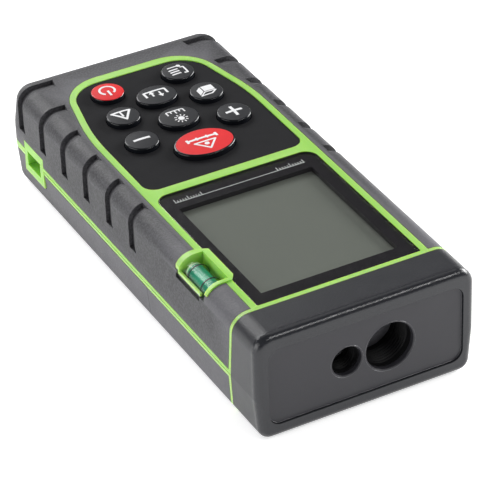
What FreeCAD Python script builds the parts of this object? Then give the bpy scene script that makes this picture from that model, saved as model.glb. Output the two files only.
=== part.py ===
import FreeCAD, Part
import math
import os
import re
import Sketcher

# Handheld laser distance meter, in millimetres.
# X runs across the casing, Y along it from the laser end to the keypad end, Z up from the underside.
# Every shape is drawn with y = 0 on the laser end's face, which is the datum of the real instrument,
# and each sub-part's Placement then moves it back by half the length, so the row's origin is at the
# middle of the underside.

SIZES = {
    # casing
    "length": 116.0,
    "half_width": 25.0,
    "height": 24.8,
    "bottom_half": 24.1,
    "seam_height": 9.93,
    "shoulder": 3.8,
    "corner": 4.4,
    "bottom_round": 2.6,
    "rear_lean": 2.8,
    "rear_lean_drop": 9.3,
    "rear_lean_round": 12.0,
    "skin": 1.5,
    "wall": 1.4,
    "gap": 0.12,
    "seam_gap": 0.14,
    "line": 0.76,
    # nose cap and its tilted joint with the shells
    "seam_top": 9.35,
    "lean": 2.7,
    "strip": 0.98,
    "nose_round": 1.6,
    "panel_half": 22.3,
    "panel_low": 3.1,
    "panel_high": 21.3,
    "panel_round": 2.7,
    "panel_recess": 0.5,
    "panel_thick": 1.2,
    "nose_face": 3.4,
    # optics
    "laser_across": -4.4,
    "laser_up": 12.2,
    "laser_hole": 3.35,
    "laser_tube": 3.5,
    "receiver_across": 5.5,
    "receiver_up": 12.3,
    "receiver_hole": 5.45,
    "receiver_tube": 5.75,
    "tube_wall": 0.35,
    "tube_gap": 0.08,
    "laser_tube_end": 21.0,
    "receiver_tube_end": 22.0,
    "collimator_depth": 6.0,
    "collimator_bulge": 0.5,
    "collimator_thick": 1.6,
    "lens_depth": 8.0,
    "lens_bulge": 0.9,
    "lens_thick": 2.2,
    "lens_gap": 0.02,
    "module_front": 11.0,
    "module_step": 17.0,
    "module_back": 24.0,
    "module_radius": 2.2,
    "module_exit": 1.2,
    "tunnel_length": 15.0,
    "tunnel_small": 3.6,
    "tunnel_wall": 0.7,
    "bench_left": 9.6,
    "bench_right": 12.9,
    "bench_near": 13.6,
    "bench_far": 19.0,
    "diode_front": 37.5,
    "diode_radius": 2.4,
    "flange_radius": 2.8,
    "flange_thick": 0.6,
    "detector_near": 40.0,
    "detector_thick": 1.2,
    "detector_left": 1.0,
    "detector_right": 12.5,
    "detector_low": 5.0,
    "detector_high": 18.2,
    # green frame, window and keypad
    "frame_half": 20.25,
    "frame_far": 106.15,
    "frame_far_round": 10.1,
    "taper_start": 83.9,
    "taper": 0.2,
    "taper_round": 60.0,
    "window_half": 18.8,
    "window_near": 10.55,
    "window_far": 55.6,
    "window_round": 3.0,
    "display_half": 15.7,
    "display_near": 14.6,
    "display_far": 49.9,
    "mask_thick": 1.1,
    "print_gap": 0.02,
    "hole_half": 17.3,
    "hole_near": 12.8,
    "hole_far": 51.8,
    "lcd_half": 17.0,
    "lcd_near": 13.1,
    "lcd_far": 51.5,
    "lcd_low": 21.0,
    "lcd_high": 23.15,
    "light_near": 16.0,
    "light_far": 51.4,
    "light_low": 20.0,
    "light_high": 20.95,
    "zebra_half": 14.0,
    "zebra_near": 13.4,
    "zebra_far": 15.2,
    "pad_near": 58.0,
    "pad_far": 104.0,
    "pad_far_round": 7.8,
    "pad_near_round": 3.0,
    "ledge": 1.7,
    "recess_floor": 23.2,
    "plate_top": 24.65,
    # keys
    "key_top": 26.05,
    "key_dome": 0.3,
    "key_edge": 0.35,
    "key_lip": 0.7,
    "key_low": 22.4,
    "key_lip_top": 23.2,
    "key_clear": 0.14,
    "key_travel": 0.5,
    "mat_low": 20.9,
    "mat_thick": 0.5,
    "mat_inset": 3.3,
    "mat_pad_radius": 2.4,
    "mat_pad_drop": 0.35,
    "dome_radius": 2.6,
    "dome_high": 0.6,
    # level
    "vial_across": -21.75,
    "vial_up": 21.75,
    "vial_radius": 2.4,
    "vial_bore": 1.9,
    "vial_near": 21.8,
    "vial_far": 31.7,
    "housing_near": 20.8,
    "housing_far": 34.1,
    "housing_in": 17.8,
    "housing_edge": 18.9,
    "housing_proud": 0.3,
    "housing_low": 21.3,
    "housing_out": 24.75,
    "wall_low": 22.9,
    "far_wall_step": 0.8,
    "backing_high": 23.2,
    "backing_low": 17.9,
    "rail_top": 22.0,
    "rail_near": 23.6,
    "mouth_far": 32.65,
    "ledge_low": 20.2,
    "ledge_deep": 0.5,
    "vial_gap": 0.1,
    "bubble_radius": 0.95,
    "bubble_up": 0.85,
    "bubble_middle": 27.2,
    "bubble_half": 2.3,
    "bubble_travel": 1.4,
    "bubble_gap": 0.05,
    "plug_thick": 0.5,
    "fill_gap": 0.02,
    "ring_offset": 2.7,
    "ring_wide": 0.36,
    "ring_thick": 0.06,
    # lanyard block
    "block_near": 98.4,
    "block_far": 108.1,
    "block_low": 5.5,
    "block_high": 12.9,
    "block_in": 19.4,
    "loop_near": 100.1,
    "loop_far": 106.7,
    "loop_low": 7.3,
    "loop_high": 10.9,
    "loop_in": 20.8,
    "post_radius": 0.8,
    "post_inset": 0.7,
    # battery door and bay
    "door_near": 48.3,
    "door_wall": 1.6,
    "door_gap": 0.2,
    "thumb_rib_half": 8.0,
    "thumb_rib_first": 4.0,
    "thumb_rib_pitch": 1.8,
    "thumb_rib_wide": 0.9,
    "thumb_rib_deep": 0.5,
    "bay_half": 11.6,
    "bay_wall": 1.4,
    "bay_near": 54.4,
    "bay_far": 106.8,
    "bay_top": 13.2,
    "cell_radius": 5.25,
    "cell_length": 44.5,
    "cell_across": 5.75,
    "cell_up": 7.6,
    "cell_near": 58.7,
    "cell_nub_radius": 1.9,
    "cell_nub_high": 0.9,
    "dent_outside": 4.6,
    "dent_inside": 4.2,
    "dent_deep": 0.3,
    "plate_half": 4.6,
    "plate_thick": 0.4,
    "plate_low": 3.0,
    "plate_high": 12.0,
    "stud_radius": 1.6,
    "spring_radius": 2.6,
    "spring_pitch": 0.85,
    "wire_radius": 0.3,
    # screws and bosses
    "case_boss": 2.5,
    "case_boss_bore": 1.1,
    "case_boss_bore_top": 17.5,
    "case_column": 3.1,
    "case_head": 2.1,
    "case_head_high": 1.6,
    "case_shank": 1.05,
    "case_tip": 17.0,
    "case_head_top": 4.0,
    "head_room": 2.35,
    "shank_room": 1.35,
    "board_boss": 1.7,
    "board_boss_bore": 0.8,
    "board_head": 1.6,
    "board_head_high": 1.2,
    "board_shank": 0.75,
    "board_tip": 22.3,
    "board_boss_bore_top": 22.6,
    "board_hole": 1.0,
    "boss_root": 2.5,
    # grip grooves
    "groove_first": 52.2,
    "groove_pitch": 10.95,
    "groove_wide": 3.1,
    "groove_deep": 1.0,
    "groove_low": 15.0,
    "groove_margin": 1.2,
    # board
    "board_half": 15.9,
    "board_low": 18.6,
    "board_high": 19.8,
    "board_near": 14.0,
    "board_far": 104.4,
    "buzzer_along": 47.5,
    "buzzer_radius": 5.2,
    "buzzer_high": 3.0,
}
GROOVES = 6
THUMB_RIBS = 6
FAR = 40  # reach of a cutting block past the casing

# Each key: name, across, along, half its width and half its length.
KEYS = (
    ("key_off", -8.65, 97.6, 3.7, 3.7),
    ("key_storage", 8.65, 97.6, 3.7, 3.7),
    ("key_reference", 0.0, 90.8, 4.7, 3.9),
    ("key_angle", -10.15, 86.8, 3.75, 3.75),
    ("key_volume", 10.15, 86.8, 3.75, 3.75),
    ("key_unit", 0.0, 80.3, 4.6, 4.1),
    ("key_minus", -11.15, 75.9, 3.75, 3.75),
    ("key_plus", 11.15, 75.9, 3.75, 3.75),
    ("key_read", 0.0, 68.3, 6.95, 5.15),
)

# Each chip under the board: name, its two sides across, its two ends along, and its height.
CHIPS = (
    ("processor", (-12, -3), (62, 71), 1.3),
    ("memory", (3, 8), (64, 70), 1.1),
    ("crystal", (-1.6, 1.6), (74, 82), 1.8),
    ("regulator", (9, 13), (80, 86), 1.5),
    ("driver", (-13, -7), (82, 88), 1.1),
)

# Each screw's place across and along. The first two case screws are at the laser end.
CASE_SCREWS = ((-18.6, 18.0), (18.6, 18.0), (-16.5, 110.2), (16.5, 110.2))
BOARD_SCREWS = ((-14.0, 56.4), (14.0, 56.4), (-9.0, 103.0), (9.0, 103.0))

doc = FreeCAD.newDocument("laser_distance_meter")
dims = doc.addObject("Spreadsheet::Sheet", "dims")
for row, (alias, value) in enumerate(SIZES.items(), 1):
    dims.set(f"A{row}", alias)
    dims.set(f"B{row}", str(value))
    dims.setAlias(f"B{row}", alias)
doc.recompute()
subparts = []


# ---- formulas ----

def formula(text):
    """A formula in the sheet's words, such as "height - skin", as FreeCAD reads it."""
    return re.sub(r"[a-z_]+", lambda word: "dims." + word[0] if word[0] in SIZES else word[0], str(text))


def bind(item, name, text):
    item.setExpression(name, formula(text))


def subpart(item, label, along="0"):
    """Names a finished piece and moves it from the laser-end datum to the row's frame."""
    item.Label = label
    bind(item, "Placement.Base.y", f"{along} - length / 2")
    subparts.append(item)


# ---- sketches and PartDesign features ----

def new_body(name):
    return doc.addObject("PartDesign::Body", name)


def sketch_on(body, role, offset):
    """A sketch on one of the body's origin planes, moved along the plane's normal."""
    plane = next(item for item in body.Origin.OriginFeatures if item.Role == role)
    sketch = body.newObject("Sketcher::SketchObject", body.Name + "_sketch")
    sketch.AttachmentSupport = (plane, [""])
    sketch.MapMode = "FlatFace"
    bind(sketch, "AttachmentOffset.Base.z", offset)
    return sketch


def limit(sketch, kind, *where, start, text):
    index = sketch.addConstraint(Sketcher.Constraint(kind, *where, start))
    bind(sketch, f"Constraints[{index}]", text)


def outline(sketch, corners):
    """A closed polygon through corners, each an (across, up) pair of formulas."""
    count = len(corners)
    turns = [2 * math.pi * index / count for index in range(count)]
    start = [FreeCAD.Vector(10 * math.cos(turn), 10 * math.sin(turn), 0) for turn in turns]
    for index in range(count):
        sketch.addGeometry(Part.LineSegment(start[index], start[(index + 1) % count]))
    for index in range(count):
        sketch.addConstraint(Sketcher.Constraint("Coincident", index, 2, (index + 1) % count, 1))
    for index, (across, up) in enumerate(corners):
        limit(sketch, "DistanceX", -1, 1, index, 1, start=start[index].x, text=across)
        limit(sketch, "DistanceY", -1, 1, index, 1, start=start[index].y, text=up)


def oval(sketch, across, along, half_wide, half_long):
    """An ellipse that is at least as wide across as it is long."""
    sketch.addGeometry(Part.Ellipse(FreeCAD.Vector(1, 1, 0), 4, 3))
    sketch.exposeInternalGeometry(0)
    sketch.addConstraint(Sketcher.Constraint("Horizontal", 1))
    limit(sketch, "Distance", 1, start=8, text=f"2 * ({half_wide})")
    limit(sketch, "Distance", 2, start=6, text=f"2 * ({half_long})")
    limit(sketch, "DistanceX", -1, 1, 0, 3, start=1, text=across)
    limit(sketch, "DistanceY", -1, 1, 0, 3, start=1, text=along)


def circle(sketch, across, up, radius):
    sketch.addGeometry(Part.Circle(FreeCAD.Vector(1, 1, 0), FreeCAD.Vector(0, 0, 1), 2))
    limit(sketch, "Radius", 0, start=2, text=radius)
    limit(sketch, "DistanceX", -1, 1, 0, 3, start=1, text=across)
    limit(sketch, "DistanceY", -1, 1, 0, 3, start=1, text=up)


def pad(body, sketch, length, both_ways=False):
    feature = body.newObject("PartDesign::Pad", body.Name + "_pad")
    feature.Profile = sketch
    feature.SideType = "Symmetric" if both_ways else "One side"
    bind(feature, "Length", length)
    return feature


def pocket(body, sketch, length):
    """Cuts an equal depth on both sides of the sketch, and fails if nothing was cut."""
    doc.recompute()
    before = body.Shape.Volume
    feature = body.newObject("PartDesign::Pocket", body.Name + "_pocket")
    feature.Profile = sketch
    feature.SideType = "Symmetric"
    bind(feature, "Length", length)
    doc.recompute()
    if body.Shape.Volume >= before:
        raise RuntimeError(f"{body.Name}: the pocket cut nothing")


def fillet(body, wanted, radius):
    """Rounds each edge of the body's tip that wanted(low corner, high corner) accepts."""
    doc.recompute()
    tip = body.Tip
    names = []
    for index, edge in enumerate(tip.Shape.Edges, 1):
        box = edge.BoundBox
        low = FreeCAD.Vector(box.XMin, box.YMin, box.ZMin)
        high = FreeCAD.Vector(box.XMax, box.YMax, box.ZMax)
        if wanted(low, high):
            names.append(f"Edge{index}")
    feature = body.newObject("PartDesign::Fillet", body.Name + "_round")
    feature.Base = (tip, names)
    bind(feature, "Radius", radius)


def near(first, second, slack=0.05):
    return abs(first - second) < slack


# ---- primitives and booleans ----

def block(name, across, along, up):
    """A box between pairs of formulas on X, Y and Z."""
    item = doc.addObject("Part::Box", name)
    for size, place, (low, high) in zip(("Length", "Width", "Height"), "xyz", (across, along, up)):
        bind(item, size, f"({high}) - ({low})")
        bind(item, f"Placement.Base.{place}", low)
    return item


def rod(name, across, up, radius, along):
    """A cylinder along Y."""
    item = doc.addObject("Part::Cylinder", name)
    item.Placement.Rotation = FreeCAD.Rotation(FreeCAD.Vector(1, 0, 0), -90)
    bind(item, "Radius", radius)
    bind(item, "Height", f"({along[1]}) - ({along[0]})")
    bind(item, "Placement.Base.x", across)
    bind(item, "Placement.Base.y", along[0])
    bind(item, "Placement.Base.z", up)
    return item


def post(name, across, along, radius, up):
    """A cylinder along Z."""
    item = doc.addObject("Part::Cylinder", name)
    bind(item, "Radius", radius)
    bind(item, "Height", f"({up[1]}) - ({up[0]})")
    bind(item, "Placement.Base.x", across)
    bind(item, "Placement.Base.y", along)
    bind(item, "Placement.Base.z", up[0])
    return item


def joined(kind, name, items):
    item = doc.addObject(kind, name)
    item.Shapes = list(items)
    return item


def fuse(name, *items):
    return joined("Part::MultiFuse", name, items)


def common(name, *items):
    return joined("Part::MultiCommon", name, items)


def cut(name, base, *tools):
    """Takes each tool away from base, one after another."""
    for tool in tools:
        item = doc.addObject("Part::Cut", name if tool is tools[-1] else name + "_stage")
        item.Base = base
        item.Tool = tool
        base = item
    return base


def group(name, items):
    item = doc.addObject("Part::Compound", name)
    item.Links = list(items)
    return item


def tube(name, across, up, radius, bore, along):
    outer = rod(name + "_outside", across, up, radius, along)
    return cut(name, outer, rod(name + "_bore", across, up, bore, along))


# ---- construction forms shared by the casing's pieces ----

def casing_form(name, inset):
    """The casing's outer form moved inwards by inset, from behind the nose to the rear end."""
    body = new_body(name)
    section = sketch_on(body, "XZ_Plane", f"{inset} - length")
    side = f"half_width - ({inset})"
    foot = f"bottom_half - ({inset})"
    top = f"height - ({inset})"
    outline(section, [(f"-({foot})", inset), (foot, inset), (side, "seam_height"), (side, top),
                      (f"-({side})", top), (f"-({side})", "seam_height")])
    pad(body, section, f"length - ({inset}) - 5")
    rear = f"length - ({inset})"
    lean_sketch = sketch_on(body, "YZ_Plane", "0")
    outline(lean_sketch, [(rear, "height - rear_lean_drop"), (f"{rear} + 2", "height - rear_lean_drop"),
                          (f"{rear} + 2", f"{top} + 2"), (f"{rear} - rear_lean - 0.6", f"{top} + 2")])
    pocket(body, lean_sketch, "2 * half_width + 4")
    round_casing(body, inset)
    return body


def round_casing(body, inset):
    """Rounds the casing's rear corners, shoulders and underside, less deeply further in."""
    def across(low, high):
        return low.x < 0 < high.x

    def at_rear(low, high):
        return low.y > SIZES["length"] - 12

    def kink(low, high):
        kink_up = SIZES["height"] - SIZES["rear_lean_drop"]
        return across(low, high) and near(low.z, high.z) and near(low.z, kink_up)

    def upright(low, high):
        return at_rear(low, high) and high.z - low.z > 1 and high.x - low.x < 2

    def top_edge(low, high):
        return near(low.z, max(vertex.Z for vertex in body.Shape.Vertexes)) and high.y > 20

    def bottom_edge(low, high):
        return near(high.z, min(vertex.Z for vertex in body.Shape.Vertexes)) and high.y > 20

    fillet(body, kink, f"rear_lean_round - ({inset})")
    fillet(body, upright, f"corner - ({inset})")
    fillet(body, top_edge, f"shoulder - ({inset})")
    fillet(body, bottom_edge, f"bottom_round - min(1.6; {inset})")


def nose_form(name, inset, front):
    """The nose cap's outer form moved inwards by inset, from the plane y = front backwards."""
    body = new_body(name)
    section = sketch_on(body, "XZ_Plane", "-16")
    side = f"half_width - ({inset})"
    foot = f"bottom_half - ({inset})"
    top = f"height - ({inset})"
    outline(section, [(f"-({foot})", inset), (foot, inset), (side, "seam_height"), (side, top),
                      (f"-({side})", top), (f"-({side})", "seam_height")])
    pad(body, section, f"16 - ({front})")
    fillet(body, lambda low, high: near(low.z, high.z) and high.y - low.y > 5 and low.z > 15,
           f"shoulder - ({inset})")
    fillet(body, lambda low, high: near(low.z, high.z) and high.y - low.y > 5 and low.z < 5,
           f"bottom_round - ({inset}) / 2")
    return body


def tilted_slab(name, front, back):
    """A slab between two planes that lean back like the nose cap's joint, from front to back at the top."""
    body = new_body(name)
    profile = sketch_on(body, "YZ_Plane", "0")
    low_shift = "lean * (height + 2) / height"
    high_shift = "lean * 2 / height"
    outline(profile, [(f"{front} + {low_shift}", "-2"), (f"{back} + {low_shift}", "-2"),
                      (f"{back} - {high_shift}", "height + 2"), (f"{front} - {high_shift}", "height + 2")])
    pad(body, profile, "60", both_ways=True)
    return body


def tapered_prism(name, half, near_y, far_y, near_round, far_round, up):
    """A prism with the keypad's outline: straight sides that draw in towards a rounded far end."""
    body = new_body(name)
    plan = sketch_on(body, "XY_Plane", up[0])
    far_half = f"{half} - taper * ({far_y} - taper_start)"
    outline(plan, [(f"-({half})", near_y), (half, near_y), (half, "taper_start"), (far_half, far_y),
                   (f"-({far_half})", far_y), (f"-({half})", "taper_start")])
    pad(body, plan, f"({up[1]}) - ({up[0]})")
    doc.recompute()
    box = body.Shape.BoundBox

    def upright(low, high):
        return high.z - low.z > 0.2

    fillet(body, lambda low, high: upright(low, high) and near(low.y, SIZES["taper_start"]), "taper_round")
    fillet(body, lambda low, high: upright(low, high) and near(high.y, box.YMax), far_round)
    if near_round:
        fillet(body, lambda low, high: upright(low, high) and near(low.y, box.YMin), near_round)
    return body


def window_prism(name, inset, up):
    """A prism with the window's outline: square corners at the laser end, round ones at the far end."""
    body = new_body(name)
    plan = sketch_on(body, "XY_Plane", up[0])
    outline(plan, [(f"{inset} - window_half", f"window_near + {inset}"),
                   (f"window_half - {inset}", f"window_near + {inset}"),
                   (f"window_half - {inset}", f"window_far - {inset}"),
                   (f"{inset} - window_half", f"window_far - {inset}")])
    pad(body, plan, f"({up[1]}) - ({up[0]})")
    fillet(body, lambda low, high: high.z - low.z > 0.1 and low.y > 50, f"window_round - {inset}")
    fillet(body, lambda low, high: high.z - low.z > 0.1 and high.y < 20, "0.5")
    return body


def housing_prism(name, spare, up):
    """The level housing's plan, with its two inner corners cut off, as a prism."""
    body = new_body(name)
    plan = sketch_on(body, "XY_Plane", up[0])
    outline(plan, [(f"-half_width - 3", f"housing_near - {spare}"),
                   (f"-housing_edge + {spare}", f"housing_near - {spare}"),
                   (f"-housing_in + {spare}", f"housing_near + 1.6"),
                   (f"-housing_in + {spare}", f"housing_far - 1.2"),
                   (f"-housing_edge - 1.2 + {spare}", f"housing_far + {spare}"),
                   (f"-half_width - 3", f"housing_far + {spare}")])
    pad(body, plan, f"({up[1]}) - ({up[0]})")
    return body


outer = casing_form("outer_form", "0")
core = casing_form("core_form", "skin")
cavity = casing_form("cavity_form", "skin + wall")
raised = casing_form("raised_form", "-housing_proud")
thick_shell = cut("thick_shell", outer, cavity)
case_zone = tilted_slab("case_zone", "seam_top + gap", f"length + {FAR}")
strip_back = tilted_slab("strip_back", "seam_top + strip", f"length + {FAR}")
grip_zone = tilted_slab("grip_zone", "seam_top + strip + gap", f"length + {FAR}")
above_seam = block("above_seam", (-FAR, FAR), (0, "length + 5"), ("seam_height + seam_gap", FAR))
below_seam = block("below_seam", (-FAR, FAR), (0, "length + 5"), (-5, "seam_height - seam_gap"))


# ---- upper shell and its overmould ----

def lanyard_block():
    """The lanyard block on the left side: a mouth in the casing's side with a strap post across it."""
    whole = block("lanyard_whole", ("-half_width", "-block_in"), ("block_near", "block_far"),
                  ("block_low", "block_high"))
    mouth = block("lanyard_mouth", ("-half_width - 1", "-loop_in"), ("loop_near", "loop_far"),
                  ("loop_low", "loop_high"))
    strap_post = post("lanyard_post", "-loop_in - post_radius - post_inset", "(loop_near + loop_far) / 2",
                      "post_radius", ("loop_low - 0.2", "loop_high + 0.2"))
    return whole, fuse("lanyard_block", cut("lanyard_walls", whole, mouth), strap_post), mouth


def level_housing():
    """The level housing: a trough in the left shoulder, open upwards and outwards."""
    side_limit = block("housing_side", ("-housing_out", "0"), (0, 60), (-5, FAR))
    visible = common("housing_visible", raised, side_limit,
                     housing_prism("housing_plan", "0", ("housing_low", "height + 1")))
    walls = cut("housing_walls", visible, *housing_corners("cut", "rail_near", "0"))
    backing = common("housing_backing", core,
                     housing_prism("backing_plan", "0", ("backing_low", "backing_high")))
    return fuse("level_housing", walls, backing)


def housing_corners(name, near_end, spare):
    """The low outer corners of the housing's two end walls, which belong to the overmould."""
    across = ("-half_width - 1", "skin - half_width")
    near_corner = block(f"near_corner_{name}", across, ("housing_near - 2", near_end),
                        ("ledge_low - 1", f"wall_low - {spare}"))
    far_corner = block(f"far_corner_{name}", across,
                       (f"housing_far - far_wall_step + {spare}", "housing_far + 2"),
                       ("ledge_low - 1", f"wall_low - far_wall_step - {spare}"))
    return near_corner, far_corner


def vial_room():
    """The space that the vial lies in, and its opening."""
    ends = ("vial_near - vial_gap / 2", "mouth_far")
    trough = rod("trough", "vial_across", "vial_up", "vial_radius + vial_gap", ends)
    mouth = block("trough_mouth", ("-half_width - 2", "vial_across + vial_radius + vial_gap"), ends,
                  ("rail_top", FAR))
    return fuse("vial_room", trough, mouth)


def upper_bosses():
    """Screw bosses that hang from the deck, and the short ones that the board is fixed to."""
    bosses = []
    for index, (across, along) in enumerate(CASE_SCREWS):
        pillar = post(f"case_boss_{index}", across, along, "case_boss",
                      ("seam_height + seam_gap", "height - boss_root"))
        bosses.append(common(f"case_boss_in_{index}", pillar, core))
    for index, (across, along) in enumerate(BOARD_SCREWS):
        bosses.append(post(f"board_boss_{index}", across, along, "board_boss",
                           ("board_high", "height - boss_root")))
    return bosses


def boss_holes():
    holes = [post(f"case_bore_{index}", across, along, "case_boss_bore",
                  ("seam_height - 1", "case_boss_bore_top"))
             for index, (across, along) in enumerate(CASE_SCREWS)]
    return holes + [post(f"board_bore_{index}", across, along, "board_boss_bore",
                         ("board_low", "board_boss_bore_top"))
                    for index, (across, along) in enumerate(BOARD_SCREWS)]


def overmould_room(name, up, core_form, along="length + 5"):
    """The room outside the core form that an overmould may fill, behind the green strip."""
    span = block(name + "_span", (-FAR, FAR), (0, along), up)
    return cut(name, common(name + "_zone", span, strip_back), core_form)


def make_upper_casing():
    above_line = ("seam_height + seam_gap + line", FAR)
    frame_zone = tapered_prism("frame_zone", "frame_half", "5", "frame_far", "", "frame_far_round",
                               (20, FAR + 5))
    lanyard_whole, lanyard, mouth = lanyard_block()
    room = cut("upper_room", overmould_room("upper_outside", above_line, core), frame_zone)
    solid = common("upper_solid", thick_shell, above_seam, case_zone)
    window_recess = window_prism("window_recess", "0", ("recess_floor", FAR))
    display_hole = block("display_hole", ("-hole_half", "hole_half"), ("hole_near", "hole_far"),
                         ("board_high", FAR))
    pad_recess = tapered_prism("pad_recess", "window_half", "pad_near", "pad_far", "pad_near_round",
                               "pad_far_round", ("recess_floor", FAR))
    pad_hole = tapered_prism("pad_hole", "window_half - ledge", "pad_near + ledge", "pad_far - ledge",
                             "pad_near_round - 1", "pad_far_round - ledge", ("board_high", FAR))
    frame = cut("frame", solid, room, window_recess, pad_recess, lanyard_whole, mouth)
    bossed = cut("bossed_frame", fuse("frame_bosses", frame, *upper_bosses()), display_hole, pad_hole,
                 *boss_holes())
    whole = fuse("upper_whole", bossed, lanyard, level_housing())
    trough = vial_room()
    subpart(cut("upper_shell", whole, trough), "upper_shell")
    make_upper_grip(lanyard_whole, trough)


def groove_cutters():
    """Grip grooves round both shoulders, each a ramp that deepens to a steep wall at its far edge."""
    limit = tapered_prism("groove_limit", "frame_half + groove_margin", "5", "length + 5", "", "1",
                          (10, FAR + 5))
    cutters = []
    for index in range(GROOVES):
        start = f"groove_first + {index} * groove_pitch"
        ramp = doc.addObject("Part::Wedge", f"groove_wedge_{index}")
        sizes = {"Xmin": "-half_width", "Xmax": "half_width", "Zmin": "5", "Zmax": "height",
                 "X2min": "groove_deep - half_width", "X2max": "half_width - groove_deep",
                 "Z2min": "5", "Z2max": "height - groove_deep",
                 "Ymin": start, "Ymax": f"{start} + groove_wide"}
        for name, text in sizes.items():
            bind(ramp, name, text)
        doc.recompute()
        core_of_ramp = doc.addObject("Part::Fillet", f"groove_ramp_{index}")
        core_of_ramp.Base = ramp
        core_of_ramp.Edges = [(number, SIZES["shoulder"], SIZES["shoulder"])
                              for number, edge in enumerate(ramp.Shape.Edges, 1)
                              if edge.BoundBox.ZMin > 20 and edge.BoundBox.YLength > 1]
        room = block(f"groove_room_{index}", (-FAR, FAR), (start, f"{start} + groove_wide"),
                     ("groove_low", FAR))
        cutters.append(cut(f"groove_{index}", room, core_of_ramp, limit))
    return cutters


def make_upper_grip(lanyard_whole, trough):
    above_line = block("above_line", (-FAR, FAR), (0, "length + 5"),
                       ("seam_height + seam_gap + line + gap", FAR))
    skin = common("upper_skin", outer, above_line, grip_zone)
    frame_room = tapered_prism("frame_room", "frame_half + gap", "5", "frame_far + gap", "",
                               "frame_far_round + gap", (20, FAR))
    housing_room = cut("housing_room", housing_prism("housing_space", "gap", ("housing_low - gap", FAR)),
                       *housing_corners("fill", "vial_near - vial_gap", "gap"))
    ledge = block("housing_ledge", ("-half_width - 1", "ledge_deep - half_width"),
                  ("rail_near", "housing_far - far_wall_step / 2"), ("ledge_low", "housing_low"))
    block_room = block("block_room", ("-half_width - 1", "0"), ("block_near - gap", "block_far + gap"),
                       (0, "block_high + gap"))
    subpart(cut("upper_grip", skin, core, frame_room, housing_room, ledge, block_room, lanyard_whole, trough,
                *groove_cutters()), "upper_grip")


# ---- lower shell, its overmould and the battery door ----

def lower_screw_parts():
    """Columns for the two front case screws, with a recess for the head and a clearance hole."""
    columns, rooms = [], []
    for index, (across, along) in enumerate(CASE_SCREWS):
        if index < 2:
            columns.append(post(f"column_{index}", across, along, "case_column",
                                ("skin + 0.5", "seam_height - seam_gap")))
            rooms.append(post(f"head_room_{index}", across, along, "head_room", (-1, "case_head_top")))
        rooms.append(post(f"screw_room_{index}", across, along, "shank_room", (-1, "seam_height + 1")))
    return columns, rooms


def make_lower_casing():
    below_band = "seam_height - seam_gap - line"
    tub_room = block("tub_room", (-FAR, FAR), (0, "door_near - gap - wall"), (-5, FAR))
    hollow = cut("lower_hollowed", outer, common("tub_hollow", cavity, tub_room))
    under_shelf = block("under_shelf", (-FAR, FAR), ("door_near - gap", "length + 5"), (-5, below_band))
    solid = common("lower_solid", hollow, below_seam, case_zone)
    room = overmould_room("lower_outside", (-5, below_band), core, "door_near + 5")
    tub = cut("tub", solid, under_shelf, room)
    bay_outside = block("bay_outside", ("-bay_half - bay_wall", "bay_half + bay_wall"),
                        ("bay_near - bay_wall", "bay_far + bay_wall"),
                        ("door_wall + 0.4", "bay_top + bay_wall"))
    bay_inside = block("bay_inside", ("-bay_half", "bay_half"), ("bay_near", "bay_far"), (-5, "bay_top"))
    block_room = block("lower_block_room", ("-half_width - 1", "-block_in + gap"),
                       ("block_near - gap", "block_far + gap"), (0, "block_high + gap"))
    columns, rooms = lower_screw_parts()
    whole = fuse("lower_whole", tub, bay_outside, *columns)
    subpart(cut("lower_shell", whole, bay_inside, block_room, *rooms), "lower_shell")

    below_line = block("below_line", (-FAR, FAR), (0, "door_near - gap"),
                       (-5, "seam_height - seam_gap - line - gap"))
    skin = common("lower_skin", outer, below_line, grip_zone)
    subpart(cut("lower_grip", skin, core, *rooms), "lower_grip")


def make_battery_door():
    door_zone = block("door_zone", (-FAR, FAR), ("door_near", "length + 5"),
                      (-5, "seam_height - seam_gap - line - door_gap"))
    room = casing_form("door_room", "door_wall")
    span = block("door_span", (-FAR, FAR), ("door_near + door_wall", "length"), (-5, FAR))
    inside = common("door_inside", room, span)
    notch = block("door_notch", ("-half_width - 1", "-block_in + 1"),
                  ("block_near - door_gap", "block_far + door_gap"), ("block_low - door_gap", FAR))
    ribs = []
    for index in range(THUMB_RIBS):
        start = f"door_near + thumb_rib_first + {index} * thumb_rib_pitch"
        ribs.append(block(f"thumb_rib_{index}", ("-thumb_rib_half", "thumb_rib_half"),
                          (start, f"{start} + thumb_rib_wide"), (-1, "thumb_rib_deep")))
    solid = common("door_solid", outer, door_zone)
    subpart(cut("battery_door", solid, inside, notch, *ribs), "battery_door")


# ---- nose cap, panel and optics ----

def make_nose():
    ahead = tilted_slab("nose_zone", f"seam_top - {FAR}", "seam_top")
    solid = nose_form("nose_outside", "0", "0")
    fillet(solid, lambda low, high: high.y < 0.01, "nose_round")
    hollow = nose_form("nose_hollow", "2", "nose_face")
    recess = panel_prism("panel_room", "0", ("-1", "panel_recess + panel_thick + 0.05"))
    holes = [rod(f"{name}_room", f"{name}_across", f"{name}_up", f"{name}_tube + tube_gap",
                 (0, "nose_face + 5"))
             for name in ("laser", "receiver")]
    subpart(cut("nose_cap", common("nose_solid", solid, ahead), hollow, recess, *holes), "nose_cap")

    panel = panel_prism("front_panel_plate", "0.08", ("panel_recess", "panel_recess + panel_thick"))
    for name in ("laser", "receiver"):
        hole = sketch_on(panel, "XZ_Plane", "0")
        circle(hole, f"{name}_across", f"{name}_up", f"{name}_hole")
        pocket(panel, hole, "10")
    fillet(panel, lambda low, high: near(high.y, SIZES["panel_recess"]) and high.x - low.x < 15
           and high.z - low.z < 15 and high.x - low.x > 4, "0.3")
    subpart(panel, "front_panel")


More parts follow.
